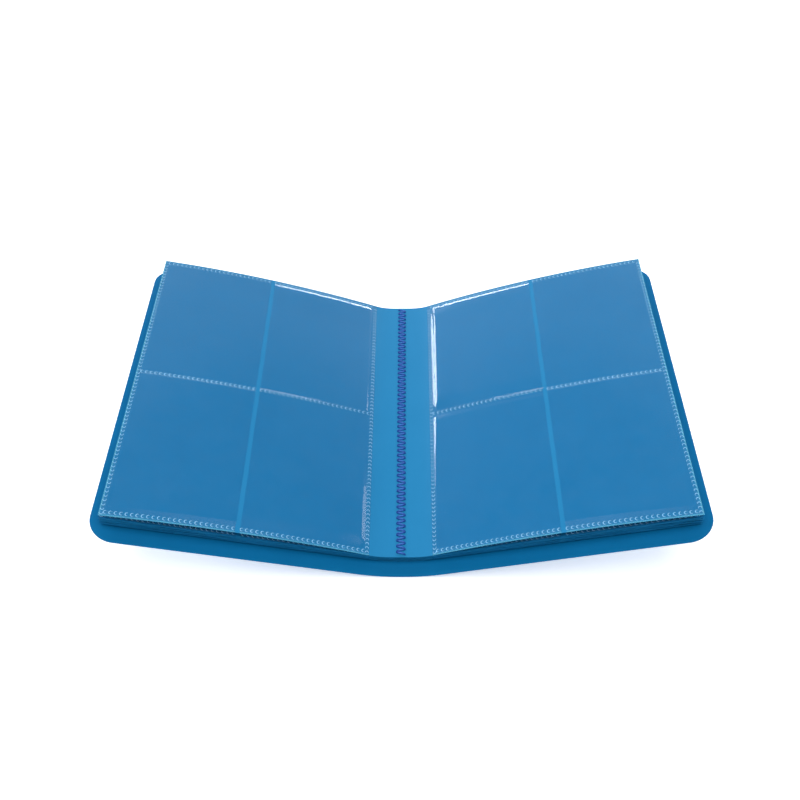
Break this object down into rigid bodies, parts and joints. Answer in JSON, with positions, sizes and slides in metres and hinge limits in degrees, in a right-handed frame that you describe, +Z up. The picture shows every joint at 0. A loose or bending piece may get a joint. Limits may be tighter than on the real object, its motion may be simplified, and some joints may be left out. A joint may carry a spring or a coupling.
{
  "type": "trading card binder",
  "caption": "Flexible side-loading card binder, open at its middle, with stitched pocket pages and a rounded one-piece cover.",
  "frame": {"origin": "middle of the spine's underside, which is the middle of the object's footprint on the surface it rests on", "axes": "+X across the open binder towards the back cover, +Y along the spine towards the heads of the pages, +Z up"},
  "size_m": [0.3224, 0.204, 0.0508],
  "materials": {
    "cover_plastic": "satin, fine leather-like grain",
    "page_sheet": "satin",
    "pocket_film": "clear, glossy",
    "seam_thread": "twisted polyester"
  },
  "bodies": {
    "spine": {"spine_panel": "cover_plastic", "folio_strips": "page_sheet", "stitch_thread": "seam_thread"},
    "front_cover": {"front_cover": "cover_plastic"},
    "back_cover": {"back_cover": "cover_plastic"},
    "left_leaf_01": {"left_leaf_01_sheet": "page_sheet", "left_leaf_01_films": "pocket_film"},
    "left_leaf_02": {"left_leaf_02_sheet": "page_sheet", "left_leaf_02_films": "pocket_film"},
    "left_leaf_03": {"left_leaf_03_sheet": "page_sheet", "left_leaf_03_films": "pocket_film"},
    "left_leaf_04": {"left_leaf_04_sheet": "page_sheet", "left_leaf_04_films": "pocket_film"},
    "left_leaf_05": {"left_leaf_05_sheet": "page_sheet", "left_leaf_05_films": "pocket_film"},
    "left_leaf_06": {"left_leaf_06_sheet": "page_sheet", "left_leaf_06_films": "pocket_film"},
    "left_leaf_07": {"left_leaf_07_sheet": "page_sheet", "left_leaf_07_films": "pocket_film"},
    "left_leaf_08": {"left_leaf_08_sheet": "page_sheet", "left_leaf_08_films": "pocket_film"},
    "left_leaf_09": {"left_leaf_09_sheet": "page_sheet", "left_leaf_09_films": "pocket_film"},
    "left_leaf_10": {"left_leaf_10_sheet": "page_sheet", "left_leaf_10_films": "pocket_film"},
    "right_leaf_01": {"right_leaf_01_sheet": "page_sheet", "right_leaf_01_films": "pocket_film"},
    "right_leaf_02": {"right_leaf_02_sheet": "page_sheet", "right_leaf_02_films": "pocket_film"},
    "right_leaf_03": {"right_leaf_03_sheet": "page_sheet", "right_leaf_03_films": "pocket_film"},
    "right_leaf_04": {"right_leaf_04_sheet": "page_sheet", "right_leaf_04_films": "pocket_film"},
    "right_leaf_05": {"right_leaf_05_sheet": "page_sheet", "right_leaf_05_films": "pocket_film"},
    "right_leaf_06": {"right_leaf_06_sheet": "page_sheet", "right_leaf_06_films": "pocket_film"},
    "right_leaf_07": {"right_leaf_07_sheet": "page_sheet", "right_leaf_07_films": "pocket_film"},
    "right_leaf_08": {"right_leaf_08_sheet": "page_sheet", "right_leaf_08_films": "pocket_film"},
    "right_leaf_09": {"right_leaf_09_sheet": "page_sheet", "right_leaf_09_films": "pocket_film"},
    "right_leaf_10": {"right_leaf_10_sheet": "page_sheet", "right_leaf_10_films": "pocket_film"}
  },
  "joints": [
    {"name": "front_cover_hinge", "type": "hinge", "parent": "spine", "child": "front_cover", "pos_m": [-0.0127, 0, 0.0005], "axis": [0, 1, 0], "range_deg": [-15.5, 74.5]},
    {"name": "left_leaf_10_turn", "type": "hinge", "parent": "spine", "child": "left_leaf_10", "pos_m": [-0.008, 0, 0.0028], "axis": [0, 1, 0], "range_deg": [-15.43, 74.14]},
    {"name": "left_leaf_09_turn", "type": "hinge", "parent": "left_leaf_10", "child": "left_leaf_09", "pos_m": [-0.008, 0, 0.0028], "axis": [0, -1, 0], "range_deg": [-8.5, 0]},
    {"name": "left_leaf_08_turn", "type": "hinge", "parent": "left_leaf_09", "child": "left_leaf_08", "pos_m": [-0.008, 0, 0.0028], "axis": [0, -1, 0], "range_deg": [-8.5, 0]},
    {"name": "left_leaf_07_turn", "type": "hinge", "parent": "left_leaf_08", "child": "left_leaf_07", "pos_m": [-0.008, 0, 0.0028], "axis": [0, -1, 0], "range_deg": [-8.5, 0]},
    {"name": "left_leaf_06_turn", "type": "hinge", "parent": "left_leaf_07", "child": "left_leaf_06", "pos_m": [-0.008, 0, 0.0028], "axis": [0, -1, 0], "range_deg": [-8.5, 0]},
    {"name": "left_leaf_05_turn", "type": "hinge", "parent": "left_leaf_06", "child": "left_leaf_05", "pos_m": [-0.008, 0, 0.0028], "axis": [0, -1, 0], "range_deg": [-8.5, 0]},
    {"name": "left_leaf_04_turn", "type": "hinge", "parent": "left_leaf_05", "child": "left_leaf_04", "pos_m": [-0.008, 0, 0.0028], "axis": [0, -1, 0], "range_deg": [-8.5, 0]},
    {"name": "left_leaf_03_turn", "type": "hinge", "parent": "left_leaf_04", "child": "left_leaf_03", "pos_m": [-0.008, 0, 0.0028], "axis": [0, -1, 0], "range_deg": [-8.5, 0]},
    {"name": "left_leaf_02_turn", "type": "hinge", "parent": "left_leaf_03", "child": "left_leaf_02", "pos_m": [-0.008, 0, 0.0028], "axis": [0, -1, 0], "range_deg": [-8.5, 0]},
    {"name": "left_leaf_01_turn", "type": "hinge", "parent": "left_leaf_02", "child": "left_leaf_01", "pos_m": [-0.008, 0, 0.0028], "axis": [0, -1, 0], "range_deg": [-8.5, 0]},
    {"name": "back_cover_hinge", "type": "hinge", "parent": "spine", "child": "back_cover", "pos_m": [0.0127, 0, 0.0005], "axis": [0, -1, 0], "range_deg": [-15.5, 74.5]},
    {"name": "right_leaf_10_turn", "type": "hinge", "parent": "spine", "child": "right_leaf_10", "pos_m": [0.008, 0, 0.0028], "axis": [0, -1, 0], "range_deg": [-15.43, 74.14]},
    {"name": "right_leaf_09_turn", "type": "hinge", "parent": "right_leaf_10", "child": "right_leaf_09", "pos_m": [0.008, 0, 0.0028], "axis": [0, 1, 0], "range_deg": [-8.5, 0]},
    {"name": "right_leaf_08_turn", "type": "hinge", "parent": "right_leaf_09", "child": "right_leaf_08", "pos_m": [0.008, 0, 0.0028], "axis": [0, 1, 0], "range_deg": [-8.5, 0]},
    {"name": "right_leaf_07_turn", "type": "hinge", "parent": "right_leaf_08", "child": "right_leaf_07", "pos_m": [0.008, 0, 0.0028], "axis": [0, 1, 0], "range_deg": [-8.5, 0]},
    {"name": "right_leaf_06_turn", "type": "hinge", "parent": "right_leaf_07", "child": "right_leaf_06", "pos_m": [0.008, 0, 0.0028], "axis": [0, 1, 0], "range_deg": [-8.5, 0]},
    {"name": "right_leaf_05_turn", "type": "hinge", "parent": "right_leaf_06", "child": "right_leaf_05", "pos_m": [0.008, 0, 0.0028], "axis": [0, 1, 0], "range_deg": [-8.5, 0]},
    {"name": "right_leaf_04_turn", "type": "hinge", "parent": "right_leaf_05", "child": "right_leaf_04", "pos_m": [0.008, 0, 0.0028], "axis": [0, 1, 0], "range_deg": [-8.5, 0]},
    {"name": "right_leaf_03_turn", "type": "hinge", "parent": "right_leaf_04", "child": "right_leaf_03", "pos_m": [0.008, 0, 0.0028], "axis": [0, 1, 0], "range_deg": [-8.5, 0]},
    {"name": "right_leaf_02_turn", "type": "hinge", "parent": "right_leaf_03", "child": "right_leaf_02", "pos_m": [0.008, 0, 0.0028], "axis": [0, 1, 0], "range_deg": [-8.5, 0]},
    {"name": "right_leaf_01_turn", "type": "hinge", "parent": "right_leaf_02", "child": "right_leaf_01", "pos_m": [0.008, 0, 0.0028], "axis": [0, 1, 0], "range_deg": [-8.5, 0]}
  ],
  "couplings": [
    {"joint": "left_leaf_10_turn", "follows": "front_cover_hinge", "ratio": 0.995},
    {"joint": "right_leaf_10_turn", "follows": "back_cover_hinge", "ratio": 0.995}
  ]
}
